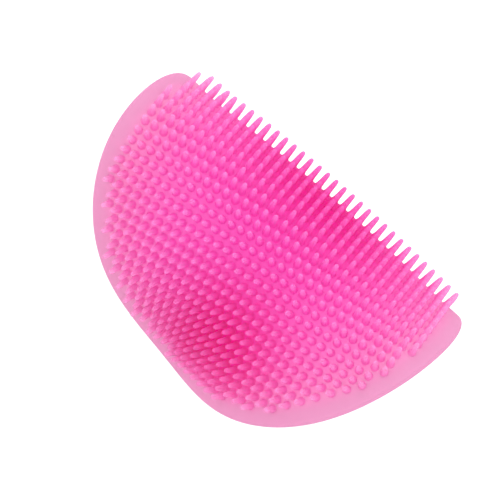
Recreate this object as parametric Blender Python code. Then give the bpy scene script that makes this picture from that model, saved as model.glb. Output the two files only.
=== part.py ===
"""Folded silicone facial cleansing pad.

A thin oval pad of soft silicone with a field of tapered bristles on its front face, folded over
with the bristles outside. The pad is drawn flat and then bent on a fan of fold lines that all run
through one point, as the lines of a cone do. Each panel between two fold lines turns about its
lower line, so turning every hinge back to zero lays the pad flat.

Flat pad: X runs along the fold lines, Y across them, Z out of the bristle face. Its back face is
at Z = 0, and the fold lines lie on that face. Folded pad: X along the fold line through the pad's
centre, Z up through the ridge, and the origin on the back face of the first panel, where fingers
grip it.
"""

from math import atan2, cos, hypot, pi, radians, sin, sqrt

import bmesh
import bpy
from mathutils import Matrix, Vector

# Pad, in metres
HALF_WIDTH = 0.0369  # along the fold
HALF_LENGTH = 0.0395  # across the fold
SHEET = 0.0014  # thickness of the web
BORDER = 0.0024  # plain band round the bristles
BORDER_SHEET = 0.0016  # thickness of the border
GAP = 0.0003  # between neighbouring pieces

# Bristles
PITCH = 0.00202
GRID_TURN = radians(12.47)  # of the bristle rows from the fold
GRID_SHIFT = (-0.12, -0.38)  # of the grid from the pad's centre, in pitches
BRISTLE_LENGTH = 0.0031
BRISTLE_BASE = 0.00095  # across the flats
BRISTLE_TIP = 0.00070
BRISTLE_ROOT = 0.0004  # sunk into the web
FOLD_CLEARANCE = 0.00078  # from a bristle's centre to the nearest fold line
RIM_CLEARANCE = 0.0007  # from a bristle's centre to the edge of the web

# Fold
PANELS = 13
APEX = 0.141  # from the pad's centre to the point where the fold lines meet
CURVE_FRONT = 20.6  # curvature at the front rim, per metre
CURVE_RIDGE = 80.4  # curvature from the ridge on
CURVE_RISE = -0.0221  # from the pad's centre to where the curvature starts to grow
RIDGE = 0.0138  # from the pad's centre to where the curvature stops growing
LEAN_FRONT = radians(-39.5)  # of the front rim: 0 faces -Y and 90 degrees faces up
LEAN_BACK = radians(200.0)  # of the back rim
GRIP = (0.0, -0.0300)  # the gripped spot on the flat pad

ARC_STEP = radians(4.0)

PINK = (0.90, 0.16, 0.42, 1.0)
PALE_PINK = (0.93, 0.36, 0.58, 1.0)


def clear_scene():
    for obj in list(bpy.data.objects):
        bpy.data.objects.remove(obj, do_unlink=True)


def silicone(name, colour):
    material = bpy.data.materials.new(name)
    material.use_nodes = True
    shader = material.node_tree.nodes["Principled BSDF"]
    shader.inputs["Base Color"].default_value = colour
    shader.inputs["Roughness"].default_value = 0.42
    shader.inputs["Metallic"].default_value = 0.0
    return material


def lean(y):
    """How far the pad's face has turned at a distance y from its centre, from the front rim on."""
    flat = min(y, CURVE_RISE) + HALF_LENGTH
    ramp = min(max(y, CURVE_RISE), RIDGE) - CURVE_RISE
    growth = (CURVE_RIDGE - CURVE_FRONT) / (RIDGE - CURVE_RISE)
    turned = CURVE_FRONT * (flat + ramp) + growth * ramp * ramp / 2
    return LEAN_FRONT + turned + CURVE_RIDGE * max(0.0, y - RIDGE)


def fold_position(angle):
    """The distance from the pad's centre at which its face has turned to this angle."""
    low, high = -HALF_LENGTH, HALF_LENGTH
    for _ in range(50):
        middle = (low + high) / 2
        if lean(middle) < angle:
            low = middle
        else:
            high = middle
    return (low + high) / 2


STEP = (LEAN_BACK - LEAN_FRONT) / PANELS  # each hinge folds by this angle
FOLDS = [fold_position(LEAN_FRONT + STEP * (i + 1)) for i in range(PANELS - 1)]


class Line:
    """A fold line on the flat pad, through the apex and (0, y), moved sideways by shift."""

    def __init__(self, y, shift=0.0):
        self.angle = atan2(y, APEX)
        self.along = Vector((cos(self.angle), sin(self.angle)))
        self.across = Vector((-self.along.y, self.along.x))
        self.point = Vector((0.0, y)) + self.across * shift

    def height(self, point):
        """How far a point lies on the far side of the line."""
        return (Vector(point) - self.point).dot(self.across)

    def crossings(self, half_x, half_y):
        """The angles at which the line meets an ellipse, right end first."""
        px, py = self.point.x / half_x, self.point.y / half_y
        dx, dy = self.along.x / half_x, self.along.y / half_y
        a = dx * dx + dy * dy
        b = px * dx + py * dy
        c = px * px + py * py - 1
        root = sqrt(b * b - a * c)
        ends = []
        for t in ((-b + root) / a, (-b - root) / a):
            ends.append(atan2(py + t * dy, px + t * dx))
        return ends


def arc(half_x, half_y, start, end):
    """Points on an ellipse from one angle to another, both included."""
    count = max(1, round(abs(end - start) / ARC_STEP))
    points = []
    for i in range(count + 1):
        angle = start + (end - start) * i / count
        points.append(Vector((half_x * cos(angle), half_y * sin(angle))))
    return points


def anticlockwise(start, end):
    """The end angle raised by whole turns until it is past the start."""
    while end <= start:
        end += 2 * pi
    return end


def web_outline(low, high):
    """The outline of a web panel between two fold lines, either of which may be missing."""
    size = (HALF_WIDTH - BORDER, HALF_LENGTH - BORDER)
    if low is None:
        right, left = high.crossings(*size)
        return arc(*size, left, anticlockwise(left, right))
    if high is None:
        right, left = low.crossings(*size)
        return arc(*size, right, anticlockwise(right, left))
    low_right, low_left = low.crossings(*size)
    high_right, high_left = high.crossings(*size)
    right_side = arc(*size, low_right, anticlockwise(low_right, high_right))
    left_side = arc(*size, high_left, anticlockwise(high_left, low_left))
    return right_side + left_side


def band(start_outer, end_outer, start_inner, end_inner):
    """The outline of a piece of the border between two angles, anticlockwise."""
    outer = (HALF_WIDTH, HALF_LENGTH)
    inner = (HALF_WIDTH - BORDER + GAP, HALF_LENGTH - BORDER + GAP)
    outside = arc(*outer, start_outer, anticlockwise(start_outer, end_outer))
    inside = arc(*inner, start_inner, anticlockwise(start_inner, end_inner))
    return outside + inside[::-1]


def border_outlines(low, high):
    """Names and outlines of the border pieces that go with a web panel."""
    outer = (HALF_WIDTH, HALF_LENGTH)
    inner = (HALF_WIDTH - BORDER + GAP, HALF_LENGTH - BORDER + GAP)
    if low is None:
        (right_out, left_out), (right_in, left_in) = high.crossings(*outer), high.crossings(*inner)
        return {"border_front_end": band(left_out, right_out, left_in, right_in)}
    if high is None:
        (right_out, left_out), (right_in, left_in) = low.crossings(*outer), low.crossings(*inner)
        return {"border_back_end": band(right_out, left_out, right_in, left_in)}
    low_out, low_in = low.crossings(*outer), low.crossings(*inner)
    high_out, high_in = high.crossings(*outer), high.crossings(*inner)
    return {
        "border_right": band(low_out[0], high_out[0], low_in[0], high_in[0]),
        "border_left": band(high_out[1], low_out[1], high_in[1], low_in[1]),
    }


def inside_web(point):
    """True if a bristle here stands on the web with its whole root."""
    half_x = HALF_WIDTH - BORDER - RIM_CLEARANCE
    half_y = HALF_LENGTH - BORDER - RIM_CLEARANCE
    return hypot(point.x / half_x, point.y / half_y) <= 1


def bristle_grid():
    """The centres of the bristles on the flat pad, in rows turned by GRID_TURN."""
    row = Vector((cos(GRID_TURN), sin(GRID_TURN))) * PITCH
    column = Vector((-row.y, row.x))
    reach = int(HALF_LENGTH / PITCH) + 2
    centres = []
    for i in range(-reach, reach + 1):
        for j in range(-reach, reach + 1):
            point = row * (i + GRID_SHIFT[0]) + column * (j + GRID_SHIFT[1])
            if inside_web(point):
                centres.append(point)
    return centres


def panel_bristles(centres, low, high):
    """The bristles between two fold lines, moved off a line that would cut them."""
    chosen = []
    for centre in centres:
        point = centre.copy()
        if low is not None:
            if low.height(point) < 0:
                continue
            point += low.across * max(0.0, FOLD_CLEARANCE - low.height(point))
        if high is not None:
            if high.height(centre) >= 0:
                continue
            point -= high.across * max(0.0, FOLD_CLEARANCE + high.height(point))
        if inside_web(point):
            chosen.append(point)
    return chosen


def slab_mesh(name, outline, thickness):
    """A flat plate of this outline, with its back face at Z = 0."""
    mesh = bpy.data.meshes.new(name)
    shape = bmesh.new()
    corners = [shape.verts.new((p.x, p.y, 0.0)) for p in outline]
    face = shape.faces.new(corners)
    raised = bmesh.ops.extrude_face_region(shape, geom=[face])["geom"]
    lifted = [item for item in raised if isinstance(item, bmesh.types.BMVert)]
    bmesh.ops.translate(shape, verts=lifted, vec=(0, 0, thickness))
    bmesh.ops.recalc_face_normals(shape, faces=shape.faces)
    shape.to_mesh(mesh)
    shape.free()
    return mesh


def bristle_mesh(name, centres):
    """Four-sided tapered bristles standing in the web."""
    mesh = bpy.data.meshes.new(name)
    shape = bmesh.new()
    height = BRISTLE_LENGTH + BRISTLE_ROOT
    middle = SHEET - BRISTLE_ROOT + height / 2
    for centre in centres:
        place = Matrix.Translation((centre.x, centre.y, middle))
        place = place @ Matrix.Rotation(GRID_TURN + pi / 4, 4, "Z")
        bmesh.ops.create_cone(
            shape,
            cap_ends=True,
            segments=4,
            radius1=BRISTLE_BASE / sqrt(2),
            radius2=BRISTLE_TIP / sqrt(2),
            depth=height,
            matrix=place,
        )
    shape.to_mesh(mesh)
    shape.free()
    return mesh


def add_object(name, mesh, parent, flat_frame, material=None):
    """An object whose mesh is drawn on the flat pad, hung on its panel's hinge."""
    mesh.transform(flat_frame.inverted())
    obj = bpy.data.objects.new(name, mesh)
    bpy.context.scene.collection.objects.link(obj)
    obj.parent = parent
    if material is not None:
        mesh.materials.append(material)
    return obj


def flat_frame_at(point, angle):
    return Matrix.Translation((point[0], point[1], 0.0)) @ Matrix.Rotation(angle, 4, "Z")


def fold_turn(y):
    """The folding turn about the fold line through (0, y), in the flat pad's axes."""
    fold = Line(y)
    frame = flat_frame_at(fold.point, fold.angle)
    return frame @ Matrix.Rotation(-STEP, 4, "X") @ frame.inverted()


def first_panel_placement():
    """Where the flat pad's axes lie for the first panel, with the grip at the origin.

    The fold line through the pad's centre runs along X, and the middle panel has its own lean.
    """
    to_middle = Matrix.Identity(4)
    below = [y for y in FOLDS if y < 0]
    for y in below:
        to_middle = to_middle @ fold_turn(y)
    face = LEAN_FRONT + STEP * (len(below) + 0.5)
    along = Vector((1, 0, 0))
    up_the_pad = Vector((0, sin(face), cos(face)))
    outward = Vector((0, -cos(face), sin(face)))
    middle = Matrix((along, up_the_pad, outward)).transposed().to_4x4()
    turned = middle @ to_middle.inverted()
    grip = turned @ Vector((GRIP[0], GRIP[1], 0.0))
    return Matrix.Translation(-grip) @ turned


def panel_material(number):
    return silicone(f"silicone_{number:02d}", PINK)


def build():
    clear_scene()
    centres = bristle_grid()
    previous_flat = flat_frame_at(GRIP, 0.0)
    previous = bpy.data.objects.new("grip", None)
    previous.matrix_world = first_panel_placement() @ previous_flat
    bpy.context.scene.collection.objects.link(previous)

    for index in range(PANELS):
        number = index + 1
        low = Line(FOLDS[index - 1], GAP / 2) if index > 0 else None
        high = Line(FOLDS[index], -GAP / 2) if index < PANELS - 1 else None
        if index > 0:
            fold = Line(FOLDS[index - 1])
            flat = flat_frame_at(fold.point, fold.angle)
            hinge = bpy.data.objects.new(f"hinge_{number:02d}", None)
            bpy.context.scene.collection.objects.link(hinge)
            hinge.parent = previous
            hinge.matrix_local = (
                previous_flat.inverted() @ flat @ Matrix.Rotation(-STEP, 4, "X")
            )
            previous, previous_flat = hinge, flat

        web = add_object(
            f"web_{number:02d}",
            slab_mesh(f"web_{number:02d}", web_outline(low, high), SHEET),
            previous,
            previous_flat,
            panel_material(number),
        )
        low_line = Line(FOLDS[index - 1]) if index > 0 else None
        high_line = Line(FOLDS[index]) if index < PANELS - 1 else None
        roots = panel_bristles(centres, low_line, high_line)
        bristles = add_object(
            f"bristles_{number:02d}",
            bristle_mesh(f"bristles_{number:02d}", roots),
            previous,
            previous_flat,
        )
        bristles.hide_render = True
        bristles.display_type = "WIRE"
        join = web.modifiers.new("bristles", "BOOLEAN")
        join.operation = "UNION"
        join.solver = "EXACT"
        join.object = bristles

        for place, outline in border_outlines(low, high).items():
            name = place if place.endswith("end") else f"{place}_{number:02d}"
            add_object(
                name,
                slab_mesh(name, outline, BORDER_SHEET),
                previous,
                previous_flat,
                silicone(name, PALE_PINK),
            )


build()
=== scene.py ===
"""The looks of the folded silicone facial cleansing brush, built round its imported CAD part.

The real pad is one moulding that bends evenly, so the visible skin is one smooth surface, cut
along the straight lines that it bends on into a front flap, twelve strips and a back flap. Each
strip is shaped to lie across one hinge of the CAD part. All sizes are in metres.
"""

from math import atan2, cos, exp, hypot, pi, radians, sin

import bmesh
import bpy
import numpy as np
from mathutils import Matrix, Vector


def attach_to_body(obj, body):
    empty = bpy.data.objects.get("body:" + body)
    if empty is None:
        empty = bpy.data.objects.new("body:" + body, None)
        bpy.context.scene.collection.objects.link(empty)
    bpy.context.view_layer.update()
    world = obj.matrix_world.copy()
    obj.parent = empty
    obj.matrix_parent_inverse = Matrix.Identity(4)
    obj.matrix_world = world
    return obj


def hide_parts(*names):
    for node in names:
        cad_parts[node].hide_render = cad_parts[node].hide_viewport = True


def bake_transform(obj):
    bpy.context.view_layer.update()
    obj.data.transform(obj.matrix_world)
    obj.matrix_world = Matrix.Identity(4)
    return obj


# Pad, as in the CAD part
HALF_WIDTH = 0.0369  # along the fold
HALF_LENGTH = 0.0395  # across the fold
SHEET = 0.0014  # thickness of the web that carries the bristles
BORDER = 0.0024  # width of the plain band round the web
BORDER_SHEET = 0.0016  # thickness of that band
PITCH = 0.00202  # from bristle to bristle
GRID_TURN = radians(12.47)  # from the fold to a row of bristles
GRID_SHIFT = (-0.12, -0.38)  # of the rows, in pitches
RIM_CLEARANCE = 0.0007  # between the outermost bristles' centres and the border
PANELS = 13
APEX = 0.141  # from the pad's centre to the point that every fold line runs through
CURVE_FRONT = 20.6  # bend of the front, in radians per metre
CURVE_RIDGE = 80.4  # bend from the ridge on
CURVE_RISE = -0.0221  # across the fold, where the bend starts to grow
RIDGE = 0.0138  # where it stops growing
LEAN_FRONT = radians(-39.5)  # of the pad's face at its front end
LEAN_BACK = radians(200.0)  # and at its back end
GRIP = (0.0, -0.0300)  # the point of the flat pad's back that is the origin

# How the hold bends the pad away from an even fold
DENT = (-0.0017, -0.0354)  # where the thumb presses, on the flat pad
DENT_DEPTH = 0.0047
DENT_SPREAD = 0.0110
CROWN = 1.22  # droop of the ridge towards its ends, per metre
CROWN_MIDDLE = 0.0017  # along the fold, where there is no droop
CROWN_END = 0.0284  # how far from there the droop stops growing
CROWN_START = -0.0200  # across the fold, where the droop sets in
CROWN_RISE = 0.0350  # the length over which it sets in

# Bristle: height above the sheet and radius of each ring, from the root to the tip
BRISTLE = (
    (-0.00012, 0.00086),
    (0.00006, 0.00076),
    (0.00025, 0.00067),
    (0.00055, 0.00061),
    (0.00110, 0.00056),
    (0.00185, 0.00051),
    (0.00245, 0.00047),
    (0.00282, 0.00041),
    (0.00304, 0.00032),
    (0.00316, 0.00020),
)
BRISTLE_TOP = 0.00321
BRISTLE_POINT = 0.00008  # the radius at the top that the last ring's slope leads to
BRISTLE_SIDES = 10
COMBED = radians(20.0)  # how far the bristles lie back where the pad turns over
COMBED_MIDDLE = 0.0045  # across the fold, where they lie back most
COMBED_SPREAD = 0.0055

# Silicone colours from the sheet to a bristle's tip: as seen by reflected light, then as light
# that comes through. The ramp is painted shade and light: deeper on the sheet between the
# bristles, where shade falls, and paler at the tips
SHOWN = (
    (0.0, (0.96, 0.15, 0.68)),
    (0.45, (0.96, 0.21, 0.73)),
    (1.0, (0.96, 0.30, 0.80)),
)
THROUGH = (
    (0.0, (0.97, 0.38, 0.83)),
    (0.5, (0.97, 0.44, 0.86)),
    (1.0, (0.97, 0.60, 0.90)),
)
# The same from inside the pad to its rim: painted light, paler where light would soak in
# from the side, and a little painted shade, darker and greyer, at the rim itself
EDGE_SHOWN = (
    (0.3, (0.95, 0.46, 0.68)),
    (0.8, (0.93, 0.43, 0.65)),
    (1.0, (0.82, 0.36, 0.58)),
)
EDGE_THROUGH = (
    (0.3, (0.96, 0.64, 0.81)),
    (0.8, (0.93, 0.62, 0.79)),
    (1.0, (0.82, 0.56, 0.72)),
)
EDGE_REACH = 0.0135  # how far the painted edge light reaches
EDGE_BAND = 0.0024  # painted at full light
EDGE_FADE = 3  # how steeply the painted shade gives way to the painted edge light
# Share of the painted edge light that the bristles get
EDGE_ON_BRISTLES = 0.7
PAINTED_SHADE_SHOWN = (0.88, 0.002, 0.42)  # painted shade, where little light comes through
# Painted shade, as the colour of light that comes through
PAINTED_SHADE_THROUGH = (0.90, 0.006, 0.50)
PAINTED_SHADE_PLACES = (  # painted shade, on the flat pad: x, y, spread along x, spread along y, depth (capped at 1)
    (0.001, 0.008, 0.015, 0.007, 0.85),  # the ridge
    (0.006, -0.031, 0.008, 0.010, 1.3),  # beside the grip, painted shade of the hold
)
# Share of the painted shade that the bristles get
PAINTED_SHADE_ON_BRISTLES = 0.5
TIP_COLOUR = (1.0, 0.86, 0.94)
TIP_CLEAR = ((0.3, 0.0), (0.9, 0.35))  # how see-through a bristle is, from one height to another
GLOW_SHARE = 0.62  # of light that passes through
ROUGHNESS = 0.55
SILICONE_IOR = 1.41
GRAIN_SCALE = 1800.0  # per metre
GRAIN_DETAIL = 3.0
GRAIN_STRENGTH = 0.25
GRAIN_DEPTH = 0.00003

# Skin mesh
SECTORS = 168
RINGS = 34
RING_MARGIN = 0.0042  # from the rim to the outermost ring
BORDER_FOOT = 0.0036  # from the rim to where the front starts to thicken into the border
BORDER_RAMP = 0.0012  # the width over which it thickens
FRONT_STEPS = 8  # from the outermost ring to the rounded rim
RIM_STEPS = 8  # round the rim
BACK_STEPS = 4  # from the rim to the outermost ring of the back
HALVINGS = 50  # in the search for a fold's position
TURN_STEPS = 800  # of the table that the bend is read from
TURN_END = TURN_STEPS - 1e-6  # the last place in it, just short of its end
TURN_MARGIN = 0.004  # that the table goes on past the pad's ends
SLOPE_STEP = 0.0002  # between the points that the skin's slope is taken from
CUT_TOLERANCE = 1e-7
# Point layers for the colour: the bristles' height, the painted edge light and the painted shade
LAYERS = ("height", "edge", "deep")

# View
DISTANCE = 0.6935
ROLL = radians(44.8)
YAW = radians(-11.22)
LEAN_SEEN = radians(30.43)  # of the face at the pad's centre, as the camera sees it
VIEW_WIDTH = 0.0916  # that the picture spans at the pad's centre
PAD_RIGHT = 0.00744  # of the view's centre
PAD_UP = 0.00507  # above it
SENSOR_WIDTH = 36.0  # in millimetres
CLIP = (0.01, 50.0)

# Stage
FLOOR_REACH = 6.0
FLOOR_LEVEL = -0.034
FLOOR_COLOUR = (0.93, 0.93, 0.93, 1)
FLOOR_ROUGHNESS = 0.9
FLOOR_SPECULAR = 0.1
SKY_STRENGTH = 1.35
KEY_PLACE = (-0.35, -0.55, 0.55)
KEY_TARGET = (0, 0, 0.02)
KEY_SIZE = 0.6
KEY_POWER = 0.8


def smooth_step(share):
    """A share from 0 to 1, eased at both ends."""
    return share * share * (3 - 2 * share)


def lean(y):
    """How far the pad's face leans back at y, measured across the fold from the centre."""
    flat = min(y, CURVE_RISE) + HALF_LENGTH
    ramp = min(max(y, CURVE_RISE), RIDGE) - CURVE_RISE
    growth = (CURVE_RIDGE - CURVE_FRONT) / (RIDGE - CURVE_RISE)
    turned = CURVE_FRONT * (flat + ramp) + growth * ramp * ramp / 2
    return LEAN_FRONT + turned + CURVE_RIDGE * max(0.0, y - RIDGE)


def fold_position(angle):
    """Where across the fold the pad's face leans by angle."""
    low, high = -HALF_LENGTH, HALF_LENGTH
    for _ in range(HALVINGS):
        middle = (low + high) / 2
        if lean(middle) < angle:
            low = middle
        else:
            high = middle
    return (low + high) / 2


STEP = (LEAN_BACK - LEAN_FRONT) / PANELS
FOLDS = [fold_position(LEAN_FRONT + STEP * (i + 1)) for i in range(PANELS - 1)]
FOLD_ANGLES = [atan2(y, APEX) for y in FOLDS]


def face_axes(angle):
    """Columns: along the fold, up the pad and out of it, for a face that leans by angle."""
    along = Vector((1, 0, 0))
    up_the_pad = Vector((0, sin(angle), cos(angle)))
    outward = Vector((0, -cos(angle), sin(angle)))
    return Matrix((along, up_the_pad, outward)).transposed()


def apex_place():
    """Where the CAD part's fold lines meet, with the grip at the origin."""
    pivot = Vector((-APEX, 0, 0))
    to_middle = Matrix.Identity(3)
    below = [a for a in FOLD_ANGLES if a < 0]
    for a in below:
        axis = Vector((cos(a), sin(a), 0))
        to_middle = to_middle @ Matrix.Rotation(-STEP, 3, axis)
    middle = face_axes(LEAN_FRONT + STEP * (len(below) + 0.5))
    first = middle @ to_middle.inverted()
    return -(first @ (Vector((*GRIP, 0)) - pivot))


APEX_AT = np.array(apex_place())


def turning_table():
    """The skin's axes at evenly spaced ruling angles, as (angles, matrices).

    A ruling is a straight line of the skin that runs through the apex. Its angle is the one that
    it makes, on the flat pad, with the line from the apex to the pad's centre.
    """
    limit = atan2(HALF_LENGTH + TURN_MARGIN, APEX)
    angles = np.linspace(-limit, limit, TURN_STEPS + 1)
    leans = [lean(APEX * np.tan(a)) for a in angles]
    middle = TURN_STEPS // 2
    matrices = [None] * len(angles)
    matrices[middle] = face_axes(lean(0.0))
    onward = [(i, i + 1) for i in range(middle, TURN_STEPS)]
    backward = [(i, i - 1) for i in range(middle, 0, -1)]
    for known, following in onward + backward:
        a = (angles[known] + angles[following]) / 2
        axis = Vector((cos(a), sin(a), 0))
        turn = Matrix.Rotation(leans[known] - leans[following], 3, axis)
        matrices[following] = matrices[known] @ turn
    return angles, np.array([np.array(m) for m in matrices])


ANGLES, TURNS = turning_table()


def turns_at(angles):
    """The skin's axes at ruling angles, each between the table's nearest two."""
    place = np.clip((angles - ANGLES[0]) / (ANGLES[1] - ANGLES[0]), 0, TURN_END)
    low = place.astype(int)
    share = (place - low)[:, None, None]
    return TURNS[low] * (1 - share) + TURNS[low + 1] * share


def back_points(flat):
    """Points of the flat pad's back face (x, y) laid on the folded pad as it is held."""
    from_apex = flat + (APEX, 0)
    axes = turns_at(np.arctan2(from_apex[:, 1], from_apex[:, 0]))
    local = np.column_stack((from_apex, np.zeros(len(flat))))
    points = APEX_AT + np.einsum("nij,nj->ni", axes, local)
    away = (flat - DENT) / DENT_SPREAD
    dent = DENT_DEPTH * np.exp(-(away**2).sum(1) / 2)
    points -= dent[:, None] * axes[:, :, 2]
    share = smooth_step(np.clip((flat[:, 1] - CROWN_START) / CROWN_RISE, 0, 1))
    along = np.minimum(np.abs(flat[:, 0] - CROWN_MIDDLE), CROWN_END)
    points[:, 2] -= CROWN * along * along * share
    return points


def fold_points(flat):
    """Flat pad points (x, y, height) laid on the folded pad, and the pad's axes there."""
    plane = flat[:, :2]
    step_x, step_y = np.array((SLOPE_STEP, 0.0)), np.array((0.0, SLOPE_STEP))
    shifted = (plane, plane - step_x, plane + step_x, plane - step_y, plane + step_y)
    around = back_points(np.concatenate(shifted))
    place, left, right, down, up = around.reshape(len(shifted), len(flat), 3)
    along = right - left
    along /= np.linalg.norm(along, axis=1)[:, None]
    outward = np.cross(along, up - down)
    outward /= np.linalg.norm(outward, axis=1)[:, None]
    axes = np.stack((along, np.cross(outward, along), outward), axis=2)
    return place + outward * flat[:, 2:], axes


def flat_profile():
    """The skin's section from the middle of its front round the rim to the middle of its back.

    Each entry is (share of the outermost ring, distance outside that ring, height, out, up),
    with out and up for the way that the skin faces.
    """
    edge = BORDER_SHEET / 2
    rows = [(i / RINGS, 0.0, SHEET, 0.0, 1.0) for i in range(RINGS + 1)]
    for inside in np.linspace(RING_MARGIN, edge, FRONT_STEPS + 1)[1:-1]:
        rise = smooth_step(min(1.0, max(0.0, (BORDER_FOOT - inside) / BORDER_RAMP)))
        height = SHEET + (BORDER_SHEET - SHEET) * rise
        rows.append((1.0, RING_MARGIN - inside, height, 0.0, 1.0))
    for i in range(RIM_STEPS + 1):
        a = pi / 2 - pi * i / RIM_STEPS
        out, up = cos(a), sin(a)
        rows.append((1.0, RING_MARGIN - edge + edge * out, edge + edge * up, out, up))
    for inside in np.linspace(edge, RING_MARGIN, BACK_STEPS + 1)[1:]:
        rows.append((1.0, RING_MARGIN - inside, 0.0, 0.0, -1.0))
    rows += [(i / RINGS, 0.0, 0.0, 0.0, -1.0) for i in range(RINGS - 1, -1, -1)]
    return rows


def flat_skin():
    """The flat pad's closed skin as a bmesh, with its layer of normals."""
    shape = bmesh.new()
    normal = shape.verts.layers.float_vector.new("normal")
    loops = []
    half_x, half_y = HALF_WIDTH - RING_MARGIN, HALF_LENGTH - RING_MARGIN
    for share, outside, height, out, up in flat_profile():
        if share == 0:
            vert = shape.verts.new((0, 0, height))
            vert[normal] = (0, 0, up)
            loops.append([vert])
            continue
        loop = []
        for k in range(SECTORS):
            a = 2 * pi * k / SECTORS
            x, y = cos(a), sin(a)
            place = (
                half_x * share * x + outside * x,
                half_y * share * y + outside * y,
                height,
            )
            across = Vector((x / HALF_WIDTH, y / HALF_LENGTH, 0)).normalized()
            vert = shape.verts.new(place)
            vert[normal] = across * out + Vector((0, 0, up))
            loop.append(vert)
        loops.append(loop)
    for first, second in zip(loops, loops[1:]):
        for k in range(SECTORS):
            n = (k + 1) % SECTORS
            if len(first) == 1:
                shape.faces.new((first[0], second[k], second[n]))
            elif len(second) == 1:
                shape.faces.new((first[k], second[0], first[n]))
            else:
                shape.faces.new((first[k], second[k], second[n], first[n]))
    return shape, normal


def seam_angles():
    """Ruling angles where one piece of skin ends and the next begins, near each panel's middle."""
    between = [(low + high) / 2 for low, high in zip(FOLD_ANGLES, FOLD_ANGLES[1:])]
    first = FOLD_ANGLES[0] - (FOLD_ANGLES[1] - FOLD_ANGLES[0]) / 2
    last = FOLD_ANGLES[-1] + (FOLD_ANGLES[-1] - FOLD_ANGLES[-2]) / 2
    return [first, *between, last]


SEAMS = seam_angles()


def cut_skin(shape):
    """Cuts the flat skin along every seam, and twice more between seams for an even bend."""
    lines = []
    for low, high in zip(SEAMS, SEAMS[1:]):
        lines += [low, low + (high - low) / 3, low + (high - low) * 2 / 3]
    lines.append(SEAMS[-1])
    for angle in lines:
        bmesh.ops.bisect_plane(
            shape,
            geom=shape.verts[:] + shape.edges[:] + shape.faces[:],
            dist=CUT_TOLERANCE,
            plane_co=(-APEX, 0, 0),
            plane_no=(-sin(angle), cos(angle), 0),
        )


def piece_of(x, y):
    """Which piece of skin a flat point belongs to, from 0 at the front flap."""
    return int(np.searchsorted(SEAMS, atan2(y, x + APEX)))


def painted_edge_light(x, y):
    """How much painted light from the rim the colour gets, from 0 to 1, at a point of the flat
    pad.
    """
    inside = (1 - hypot(x / HALF_WIDTH, y / HALF_LENGTH)) * HALF_LENGTH
    return exp(-max(0.0, inside - EDGE_BAND) / EDGE_REACH)


def painted_shade_depth(x, y):
    """How much painted shade the colour gets at a point of the flat pad, from 0 to 1."""
    depth = 0.0
    for middle_x, middle_y, spread_x, spread_y, deepest in PAINTED_SHADE_PLACES:
        away = ((x - middle_x) / spread_x) ** 2 + ((y - middle_y) / spread_y) ** 2
        depth += deepest * exp(-away / 2)
    return min(1.0, depth) * (1 - painted_edge_light(x, y) ** EDGE_FADE)


def bristle_centres():
    """The bristles' places on the flat pad, on a square grid inside the border."""
    row = Vector((cos(GRID_TURN), sin(GRID_TURN))) * PITCH
    column = Vector((-row.y, row.x))
    reach = int(HALF_LENGTH / PITCH) + 2
    half_x = HALF_WIDTH - BORDER - RIM_CLEARANCE
    half_y = HALF_LENGTH - BORDER - RIM_CLEARANCE
    centres = []
    for i in range(-reach, reach + 1):
        for j in range(-reach, reach + 1):
            point = row * (i + GRID_SHIFT[0]) + column * (j + GRID_SHIFT[1])
            if hypot(point.x / half_x, point.y / half_y) <= 1:
                centres.append((point.x, point.y))
    return centres


def bristle_shape():
    """One bristle's points, normals, faces and heights from 0 to 1, with its root at z = 0."""
    points, normals, faces, heights = [], [], [], []
    count = len(BRISTLE)
    for i, (height, radius) in enumerate(BRISTLE):
        before = BRISTLE[max(0, i - 1)]
        after = BRISTLE[i + 1] if i + 1 < count else (BRISTLE_TOP, BRISTLE_POINT)
        slope = Vector((after[0] - before[0], before[1] - after[1])).normalized()
        for k in range(BRISTLE_SIDES):
            a = 2 * pi * (k + 0.5 * (i % 2)) / BRISTLE_SIDES
            points.append((radius * cos(a), radius * sin(a), height))
            normals.append((slope.x * cos(a), slope.x * sin(a), slope.y))
            heights.append(max(0.0, height) / BRISTLE_TOP)
    points.append((0, 0, BRISTLE_TOP))
    normals.append((0, 0, 1))
    heights.append(1.0)
    for i in range(count - 1):
        low, high = i * BRISTLE_SIDES, (i + 1) * BRISTLE_SIDES
        for k in range(BRISTLE_SIDES):
            n = (k + 1) % BRISTLE_SIDES
            if i % 2 == 0:
                faces.append((low + k, low + n, high + k))
                faces.append((low + n, high + n, high + k))
            else:
                faces.append((low + k, low + n, high + n))
                faces.append((low + k, high + n, high + k))
    top = (count - 1) * BRISTLE_SIDES
    for k in range(BRISTLE_SIDES):
        faces.append((top + k, top + (k + 1) % BRISTLE_SIDES, count * BRISTLE_SIDES))
    return np.array(points), np.array(normals), faces, heights


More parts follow.
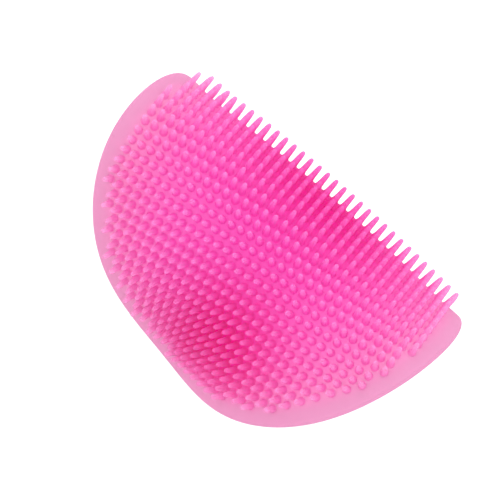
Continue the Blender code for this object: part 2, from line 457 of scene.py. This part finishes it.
def silicone():
    """Soft translucent silicone that lets light through, with painted light and shade in its
    colour:
    paler at the rim and the bristles' tips, deeper on the sheet, the ridge and beside the grip.
    """
    material = bpy.data.materials.new("silicone")
    material.use_nodes = True
    tree = material.node_tree
    tree.nodes.clear()

    def node(kind, inputs=None, **settings):
        made = tree.nodes.new(kind)
        for key, value in settings.items():
            setattr(made, key, value)
        for name, value in (inputs or {}).items():
            made.inputs[name].default_value = value
        return made

    def attribute(name):
        return node("ShaderNodeAttribute", attribute_name=name).outputs["Fac"]

    def ramp(source, stops):
        made = node("ShaderNodeValToRGB")
        elements = made.color_ramp.elements
        while len(elements) < len(stops):
            elements.new(0.5)
        for element, (position, colour) in zip(elements, stops):
            element.position = position
            element.color = (*colour, 1)
        tree.links.new(source, made.inputs["Fac"])
        return made.outputs["Color"]

    def towards(factor, first, second):
        made = node("ShaderNodeMix", data_type="RGBA")
        tree.links.new(factor, made.inputs["Factor"])
        tree.links.new(first, made.inputs["A"])
        if isinstance(second, tuple):
            made.inputs["B"].default_value = (*second, 1)
        else:
            tree.links.new(second, made.inputs["B"])
        return made.outputs["Result"]

    height, edge, deep = (attribute(name) for name in LAYERS)
    # Painted shade and light: the height ramps deepen the sheet and pale the tips, and give way to
    # the painted edge light towards the rim
    shown = towards(edge, ramp(height, SHOWN), ramp(edge, EDGE_SHOWN))
    through = towards(edge, ramp(height, THROUGH), ramp(edge, EDGE_THROUGH))

    grain = node("ShaderNodeTexNoise", {"Scale": GRAIN_SCALE, "Detail": GRAIN_DETAIL})
    place = node("ShaderNodeTexCoord").outputs["Object"]
    tree.links.new(place, grain.inputs["Vector"])
    bump = node("ShaderNodeBump", {"Strength": GRAIN_STRENGTH, "Distance": GRAIN_DEPTH})
    tree.links.new(grain.outputs["Fac"], bump.inputs["Height"])

    # The painted shade places deepen both the reflected and the passing colour
    body = node("ShaderNodeBsdfPrincipled", {"Roughness": ROUGHNESS, "IOR": SILICONE_IOR})
    tree.links.new(towards(deep, shown, PAINTED_SHADE_SHOWN), body.inputs["Base Color"])
    tree.links.new(bump.outputs["Normal"], body.inputs["Normal"])
    glow = node("ShaderNodeBsdfTranslucent")
    tree.links.new(towards(deep, through, PAINTED_SHADE_THROUGH), glow.inputs["Color"])
    mix = node("ShaderNodeMixShader", {"Fac": GLOW_SHARE})
    tree.links.new(body.outputs["BSDF"], mix.inputs[1])
    tree.links.new(glow.outputs["BSDF"], mix.inputs[2])

    (clear_from, least_clear), (clear_to, most_clear) = TIP_CLEAR
    limits = {
        "From Min": clear_from,
        "From Max": clear_to,
        "To Min": least_clear,
        "To Max": most_clear,
    }
    clearness = node("ShaderNodeMapRange", limits)
    tree.links.new(height, clearness.inputs["Value"])
    clear = node("ShaderNodeBsdfTransparent", {"Color": (*TIP_COLOUR, 1)})
    tips = node("ShaderNodeMixShader")
    tree.links.new(clearness.outputs["Result"], tips.inputs["Fac"])
    tree.links.new(mix.outputs["Shader"], tips.inputs[1])
    tree.links.new(clear.outputs["BSDF"], tips.inputs[2])
    out = node("ShaderNodeOutputMaterial")
    tree.links.new(tips.outputs["Shader"], out.inputs["Surface"])
    return material


def lay_skin(pieces):
    """Shares out the folded skin's points and faces among its pieces."""
    shape, normal_layer = flat_skin()
    cut_skin(shape)
    shape.verts.index_update()
    folded, axes = fold_points(np.array([vert.co for vert in shape.verts]))
    used = [{} for _ in pieces]
    for face in shape.faces:
        middle = face.calc_center_median()
        which = piece_of(middle.x, middle.y)
        piece, known = pieces[which], used[which]
        corners = []
        for vert in face.verts:
            if vert.index not in known:
                x, y = vert.co.x, vert.co.y
                known[vert.index] = len(piece["points"])
                piece["points"].append(folded[vert.index])
                piece["normals"].append(axes[vert.index] @ np.array(vert[normal_layer]))
                piece["ruling"].append(atan2(y, x + APEX))
                piece["height"].append(0.0)
                # The painted edge light and painted shade at this point
                piece["edge"].append(painted_edge_light(x, y))
                piece["deep"].append(painted_shade_depth(x, y))
            corners.append(known[vert.index])
        piece["faces"].append(corners)
    shape.free()


def add_bristles(pieces):
    """Adds each bristle to the piece of skin that it stands on."""
    points, normals, faces, heights = bristle_shape()
    count = len(points)
    for x, y in bristle_centres():
        piece = pieces[piece_of(x, y)]
        root, axes = fold_points(np.array([[x, y, SHEET]]))
        tip_back = COMBED * exp(-(((y - COMBED_MIDDLE) / COMBED_SPREAD) ** 2) / 2)
        stand = axes[0] @ np.array(Matrix.Rotation(-tip_back, 3, "X"))
        start = len(piece["points"])
        piece["points"].extend(root[0] + points @ stand.T)
        piece["normals"].extend(normals @ stand.T)
        piece["ruling"].extend([None] * count)
        piece["height"].extend(heights)
        # Each bristle takes a share of the painted edge light and painted shade where it stands
        piece["edge"].extend([painted_edge_light(x, y) * EDGE_ON_BRISTLES] * count)
        piece["deep"].extend([painted_shade_depth(x, y) * PAINTED_SHADE_ON_BRISTLES] * count)
        piece["faces"].extend([[start + i for i in face] for face in faces])


def piece_object(name, piece, material):
    """A mesh object made from a piece's lists, which keeps their normals."""
    mesh = bpy.data.meshes.new(name)
    mesh.from_pydata([tuple(p) for p in piece["points"]], [], piece["faces"])
    mesh.materials.append(material)
    for kind in LAYERS:
        layer = mesh.attributes.new(kind, "FLOAT", "POINT")
        layer.data.foreach_set("value", np.array(piece[kind], np.float32))
    mesh.shade_smooth()
    directions = np.array(piece["normals"])
    directions /= np.linalg.norm(directions, axis=1)[:, None]
    mesh.normals_split_custom_set_from_vertices([tuple(n) for n in directions])
    obj = bpy.data.objects.new(name, mesh)
    bpy.context.scene.collection.objects.link(obj)
    return obj


def build_pieces(material):
    """One mesh object, with the lists it was made from, for each piece of the pad."""
    names = ["front_flap", *(f"bend_{k:02d}" for k in range(1, PANELS)), "back_flap"]
    kinds = ("points", "normals", "ruling", "faces", *LAYERS)
    pieces = [{kind: [] for kind in kinds} for _ in names]
    lay_skin(pieces)
    add_bristles(pieces)
    return [(piece_object(n, piece, material), piece) for n, piece in zip(names, pieces)]


def attach(objects):
    """Ties the front and back flaps to their bodies and bakes the strips where they lie, each
    piece in place of its CAD nodes.
    """
    middle = range(2, PANELS)
    bodies = ["front_panel", *(f"panel_{k:02d}" for k in middle), "back_panel"]
    nodes = [["web_01", "border_front_end"]]
    nodes += [[f"web_{k:02d}", f"border_left_{k:02d}", f"border_right_{k:02d}"] for k in middle]
    nodes += [["web_13", "border_back_end"]]
    for number, (obj, piece) in enumerate(objects):
        if number == 0:
            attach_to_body(obj, bodies[0])
            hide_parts(*nodes[0])
        elif number == PANELS:
            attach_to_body(obj, bodies[-1])
            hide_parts(*nodes[-1])
        else:
            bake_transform(obj)
            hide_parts(*nodes[number - 1], *nodes[number])


def make_camera():
    """The camera, placed from the pad's centre and rolled so that the fold runs aslant."""
    centre = Vector(APEX_AT + turns_at(np.array([0.0]))[0] @ np.array((APEX, 0, 0)))
    tilt = Matrix.Rotation(LEAN_SEEN - lean(0.0), 3, "X")
    level = tilt @ Vector((cos(YAW), -sin(YAW), 0))
    forward = tilt @ Vector((sin(YAW), cos(YAW), 0))
    upright = tilt @ Vector((0, 0, 1))
    right = level * cos(ROLL) + upright * sin(ROLL)
    up = upright * cos(ROLL) - level * sin(ROLL)
    data = bpy.data.cameras.new("camera")
    data.sensor_width = SENSOR_WIDTH
    data.lens = SENSOR_WIDTH * DISTANCE / VIEW_WIDTH
    data.clip_start, data.clip_end = CLIP
    camera = bpy.data.objects.new("camera", data)
    bpy.context.scene.collection.objects.link(camera)
    place = centre - forward * DISTANCE - right * PAD_RIGHT - up * PAD_UP
    turned = Matrix((right, up, -forward)).transposed().to_4x4()
    camera.matrix_world = Matrix.Translation(place) @ turned
    bpy.context.scene.camera = camera


def make_floor():
    """A wide pale floor just below the pad."""
    mesh = bpy.data.meshes.new("floor")
    around = ((-1, -1), (1, -1), (1, 1), (-1, 1))
    corners = [(x * FLOOR_REACH, y * FLOOR_REACH, FLOOR_LEVEL) for x, y in around]
    mesh.from_pydata(corners, [], [(0, 1, 2, 3)])
    floor = bpy.data.objects.new("floor", mesh)
    bpy.context.scene.collection.objects.link(floor)
    material = bpy.data.materials.new("floor")
    material.use_nodes = True
    shader = material.node_tree.nodes["Principled BSDF"]
    shader.inputs["Base Color"].default_value = FLOOR_COLOUR
    shader.inputs["Roughness"].default_value = FLOOR_ROUGHNESS
    shader.inputs["Specular IOR Level"].default_value = FLOOR_SPECULAR
    mesh.materials.append(material)


def light_stage():
    """A white sky, and one soft key light from the front left."""
    world = bpy.data.worlds.new("studio")
    bpy.context.scene.world = world
    world.use_nodes = True
    background = world.node_tree.nodes["Background"]
    background.inputs["Color"].default_value = (1, 1, 1, 1)
    background.inputs["Strength"].default_value = SKY_STRENGTH
    data = bpy.data.lights.new("key", "AREA")
    data.shape = "DISK"
    data.size = KEY_SIZE
    data.energy = KEY_POWER
    key = bpy.data.objects.new("key", data)
    bpy.context.scene.collection.objects.link(key)
    key.location = KEY_PLACE
    line = Vector(KEY_TARGET) - Vector(KEY_PLACE)
    key.rotation_euler = line.to_track_quat("-Z", "Y").to_euler()


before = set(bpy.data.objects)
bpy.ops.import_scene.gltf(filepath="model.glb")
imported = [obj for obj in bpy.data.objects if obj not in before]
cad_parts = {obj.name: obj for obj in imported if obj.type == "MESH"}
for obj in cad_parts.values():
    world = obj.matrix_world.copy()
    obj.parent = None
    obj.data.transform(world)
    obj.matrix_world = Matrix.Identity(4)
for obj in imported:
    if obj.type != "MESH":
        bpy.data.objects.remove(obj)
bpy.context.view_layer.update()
make_camera()
attach(build_pieces(silicone()))
make_floor()
light_stage()
bpy.context.scene.view_settings.view_transform = "Standard"
